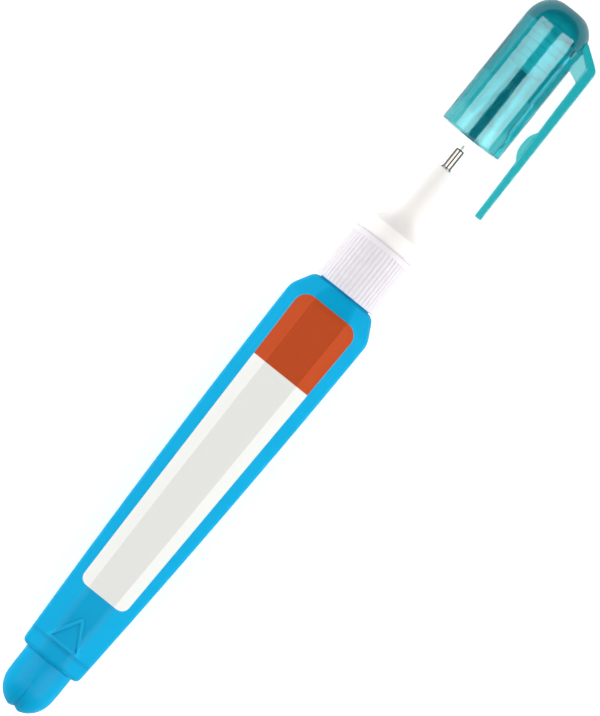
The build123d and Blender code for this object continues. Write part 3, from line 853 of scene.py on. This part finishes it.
def sealMesh():
    look = sealLook
    deep = look["radius"] - look["grooveDepth"]
    corners = [(look["boreEnd"], 0, 0), (look["boreEnd"], look["bore"], 0),
               (look["funnelEnd"], look["bore"], 0), (look["funnelEnd"], look["funnelFloor"], 0),
               (look["rear"], look["funnel"], 0), (look["rear"], look["radius"], look["endRound"])]
    for x in look["grooves"]:
        corners += [(x - look["grooveHalf"], look["radius"], look["grooveRound"]),
                    (x - look["grooveFoot"], deep, look["grooveRound"]),
                    (x + look["grooveFoot"], deep, look["grooveRound"]),
                    (x + look["grooveHalf"], look["radius"], look["grooveRound"])]
    corners += [(look["front"], look["radius"], look["endRound"]), (look["front"], 0, 0)]
    return turned(softProfile(corners, look["roundSteps"]), look["steps"], closed=False)


fit(toPiece("seal_bush", sealMesh(), naturalPolyethylene(), sealLook["sharp"]), "cap", "seal_plastic",
    "cap_seal")

# Pieces inside keep their CAD shape and get their finish

valve = whiteMoulding("valve")
inside = {"mixing_ball": steel("ball"), "spring_retainer": valve, "neck_gasket": foamRubber(),
          "needle_slider": valve}
for node, material in inside.items():
    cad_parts[node].data.materials.clear()
    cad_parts[node].data.materials.append(material)
print("finishes on", len(inside), "inner nodes")

# Studio

view = {"turn": 51.2, "middle": (56.2, -0.71, 0.0), "high": 102.3, "lens": 400.0, "sensor": 36.0}
floorLook = {
    "middleX": 56.0, "z": -7.08, "size": 1150.0, "card": 0.8, "glow": 0.56, "glossyShare": 0.4,
    # the cap shade colour and the shade keys paint a fixed teal shadow of the cap on the card, seen only
    # through clear plastic
    "throughCard": "#FFFFFF", "paintedCapShadow": "#26707A", "shadeFrom": 1.4, "shadeTo": 2.4, "shadeMiddle": 103.0,
    "shadeHalf": 8.5, "shadeFade": 2.0,
}


def paleFloor():
    # matt white card: it shows as white and still takes the pen's shadow
    look = floorLook
    material, tree, place = newMaterial("matt_white_card")
    rays = addNode(tree, "ShaderNodeLightPath").outputs
    seen = calc(tree, "MULTIPLY", rays["Is Glossy Ray"], look["glossyShare"])
    seen = calc(tree, "MAXIMUM", rays["Is Camera Ray"], seen)
    card = addNode(tree, "ShaderNodeBsdfDiffuse", {"Color": [look["card"]] * 3 + [1.0]}).outputs[0]
    glow = addNode(tree, "ShaderNodeEmission", {"Strength": look["glow"]}).outputs[0]
    both = addNode(tree, "ShaderNodeAddShader", {0: card, 1: glow}).outputs[0]
    skin = addNode(tree, "ShaderNodeMixShader", {0: seen, 1: card, 2: both}).outputs[0]
    # through clear plastic the card shows white, and along the axis under the drawn-off cap a painted teal
    # shadow, as light that came through the cap would leave
    where = axes(tree, place)
    across = spread(tree, calc(tree, "ABSOLUTE", where[1]), 0.0, 1.0,
                    look["shadeFrom"] * mm, look["shadeTo"] * mm, "SMOOTHSTEP")
    along = calc(tree, "ABSOLUTE", calc(tree, "SUBTRACT", where[0], look["shadeMiddle"] * mm))
    along = spread(tree, along, 0.0, 1.0,
                   look["shadeHalf"] * mm, (look["shadeHalf"] + look["shadeFade"]) * mm)
    tint = mixed(tree, calc(tree, "MAXIMUM", across, along), look["paintedCapShadow"], look["throughCard"])
    seenThroughWithPaintedShadow = addNode(tree, "ShaderNodeEmission", {"Color": tint}).outputs[0]
    return ended(material, addNode(tree, "ShaderNodeMixShader",
                                   {0: rays["Is Transmission Ray"], 1: skin, 2: seenThroughWithPaintedShadow}))


def addFloor():
    look = floorLook
    bm = bmesh.new()
    bmesh.ops.create_grid(bm, x_segments=2, y_segments=2, size=look["size"] / 2 * mm,
                          matrix=Matrix.Translation((look["middleX"] * mm, 0, look["z"] * mm)))
    floor = toPiece("floor", bm, paleFloor())


worldLook = {"light": 0.42, "ceilingFrom": -0.02, "ceilingTo": 0.12, "ceilingGlossy": 0.05,
             "ceilingTransmission": 0.1}


def addWorld():
    look = worldLook
    world = bpy.data.worlds.new("studio")
    scene.world = world
    world.use_nodes = True
    tree = world.node_tree
    tree.nodes.clear()
    rays = addNode(tree, "ShaderNodeLightPath").outputs
    up = axes(tree, addNode(tree, "ShaderNodeTexCoord").outputs["Generated"])[2]
    # metal and clear plastic see the white backdrop all round and a darker ceiling over it
    level = look["light"]
    for ray in ("Glossy", "Transmission"):
        room = spread(tree, up, 1.0, look["ceiling" + ray], look["ceilingFrom"], look["ceilingTo"])
        hit = rays["Is " + ray + " Ray"]
        level = addNode(tree, "ShaderNodeMix", {0: hit, 2: level, 3: room}).outputs[0]
    level = addNode(tree, "ShaderNodeMix", {0: rays["Is Camera Ray"], 2: level, 3: 1.0}).outputs[0]
    sky = addNode(tree, "ShaderNodeBackground", {"Color": toLinear("#FFFFFF"), "Strength": level})
    addNode(tree, "ShaderNodeOutputWorld", {"Surface": sky.outputs[0]})


lampAway = 550.0  # from the pen's axis to each lamp
lamps = {
    "softbox_plus": {"lean": 68.0, "long": 360.0, "wide": 300.0, "radiance": 6.4, "glossy": False},
    "softbox_minus": {"lean": -68.0, "long": 360.0, "wide": 300.0, "radiance": 6.9, "glossy": False},
    "card_plus": {"lean": 44.0, "long": 500.0, "wide": 580.0, "radiance": 5.0, "glossy": True},
    "card_minus": {"lean": -44.0, "long": 500.0, "wide": 580.0, "radiance": 6.1, "glossy": True},
}


def addLamp(name, look):
    # a softbox lights from a long side, and a card shows only in gloss and through clear plastic
    lamp = bpy.data.lights.new(name, "AREA")
    lamp.shape = "RECTANGLE"
    lamp.size = look["long"] * mm
    lamp.size_y = look["wide"] * mm
    lamp.energy = look["radiance"] * math.pi * lamp.size * lamp.size_y
    box = bpy.data.objects.new(name, lamp)
    lean = Matrix.Rotation(-math.radians(look["lean"]), 4, "X")
    box.matrix_world = (Matrix.Translation((view["middle"][0] * mm, 0, 0)) @ lean
                        @ Matrix.Translation((0, 0, lampAway * mm)))
    box.visible_glossy = look["glossy"]
    box.visible_diffuse = not look["glossy"]
    box.visible_camera = False
    box.visible_transmission = look["glossy"]
    scene.collection.objects.link(box)


def addCamera():
    # straight down on the pen, from so far that the picture is as high as the view says
    eye = bpy.data.cameras.new("camera")
    eye.lens = view["lens"]
    eye.sensor_width = view["sensor"]
    camera = bpy.data.objects.new("camera", eye)
    away = view["high"] * view["lens"] / view["sensor"]
    camera.matrix_world = (Matrix.Translation(Vector(view["middle"]) * mm + Vector((0, 0, away * mm)))
                           @ Matrix.Rotation(-math.radians(view["turn"]), 4, "Z"))
    scene.collection.objects.link(camera)
    scene.camera = camera


addFloor()
addWorld()
for name, look in lamps.items():
    addLamp(name, look)
addCamera()
print("studio ready")
